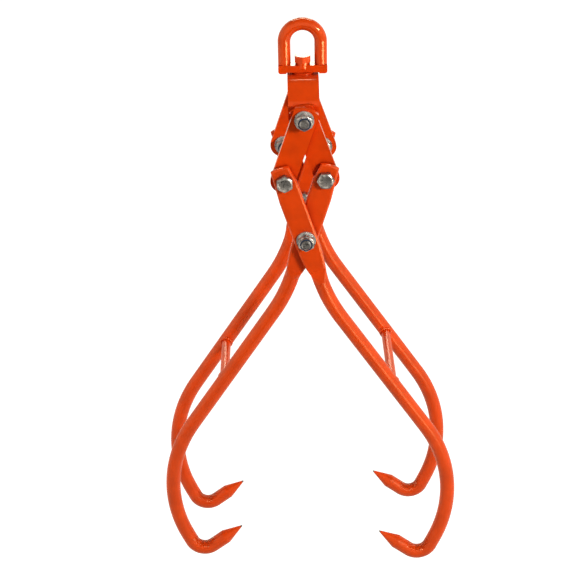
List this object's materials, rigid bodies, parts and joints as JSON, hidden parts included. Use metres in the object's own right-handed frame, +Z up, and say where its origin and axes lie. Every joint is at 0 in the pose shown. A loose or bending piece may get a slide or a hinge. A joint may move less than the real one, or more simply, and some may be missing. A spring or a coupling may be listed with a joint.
{
  "type": "log grapple",
  "caption": "Hanging log grapple: a swivel eye and bent yoke carry a double scissor linkage of flat links and crossed round-bar arms that end in curved, pointed claws.",
  "frame": {"origin": "inside crown of the swivel eye, where the crane hook bears", "axes": "+Z up along the swivel axis, +X to the right across the linkage, +Y from the front pair of claws to the rear pair along the log"},
  "size_m": [0.3858, 0.1816, 0.7378],
  "materials": {
    "orange_paint": "gloss powder coat",
    "zinc_plate": "bright zinc plating",
    "nylon": "satin"
  },
  "bodies": {
    "ring": {"swivel_ring": "orange_paint"},
    "yoke": {"yoke": "orange_paint", "swivel_bolt": "orange_paint", "swivel_collar": "orange_paint", "swivel_washer": "zinc_plate", "swivel_nut": "zinc_plate", "swivel_nut_insert": "nylon", "top_pivot_bolts": "zinc_plate", "top_pivot_washers": "zinc_plate", "top_pivot_nuts": "zinc_plate", "top_pivot_nut_inserts": "nylon"},
    "left_links": {"link_left_front": "orange_paint", "link_left_rear": "orange_paint", "left_pivot_bolts": "zinc_plate", "left_pivot_washers": "zinc_plate", "left_pivot_nuts": "zinc_plate", "left_pivot_nut_inserts": "nylon"},
    "right_links": {"link_right_front": "orange_paint", "link_right_rear": "orange_paint", "right_pivot_bolts": "zinc_plate", "right_pivot_washers": "zinc_plate", "right_pivot_nuts": "zinc_plate", "right_pivot_nut_inserts": "nylon"},
    "right_arms": {"arm_right_front": "orange_paint", "arm_right_rear": "orange_paint", "spacer_rod_right": "orange_paint", "lower_pivot_bolts": "zinc_plate", "lower_pivot_washers": "zinc_plate", "lower_pivot_nuts": "zinc_plate", "lower_pivot_nut_inserts": "nylon"},
    "left_arms": {"arm_left_front": "orange_paint", "arm_left_rear": "orange_paint", "spacer_rod_left": "orange_paint"}
  },
  "joints": [
    {"name": "swivel", "type": "hinge", "parent": "ring", "child": "yoke", "pos_m": [0, 0, -0.0513], "axis": [0, 0, 1], "continuous": true},
    {"name": "fold", "type": "hinge", "parent": "yoke", "child": "left_links", "pos_m": [0, 0, -0.0921], "axis": [0, 1, 0], "range_deg": [-6.5, 56]},
    {"name": "fold_right", "type": "hinge", "parent": "yoke", "child": "right_links", "pos_m": [0, 0, -0.0921], "axis": [0, 1, 0], "range_deg": [-56.5, 7]},
    {"name": "right_arm_turn", "type": "hinge", "parent": "left_links", "child": "right_arms", "pos_m": [-0.02503, 0, -0.16914], "axis": [0, 1, 0], "range_deg": [-112.5, 13.5]},
    {"name": "left_arm_turn", "type": "hinge", "parent": "right_links", "child": "left_arms", "pos_m": [0.02503, 0, -0.16914], "axis": [0, 1, 0], "range_deg": [-13.5, 112.5]}
  ],
  "couplings": [
    {"joint": "fold_right", "follows": "fold", "ratio": -1},
    {"joint": "right_arm_turn", "follows": "fold", "ratio": -2},
    {"joint": "left_arm_turn", "follows": "fold", "ratio": 2}
  ]
}
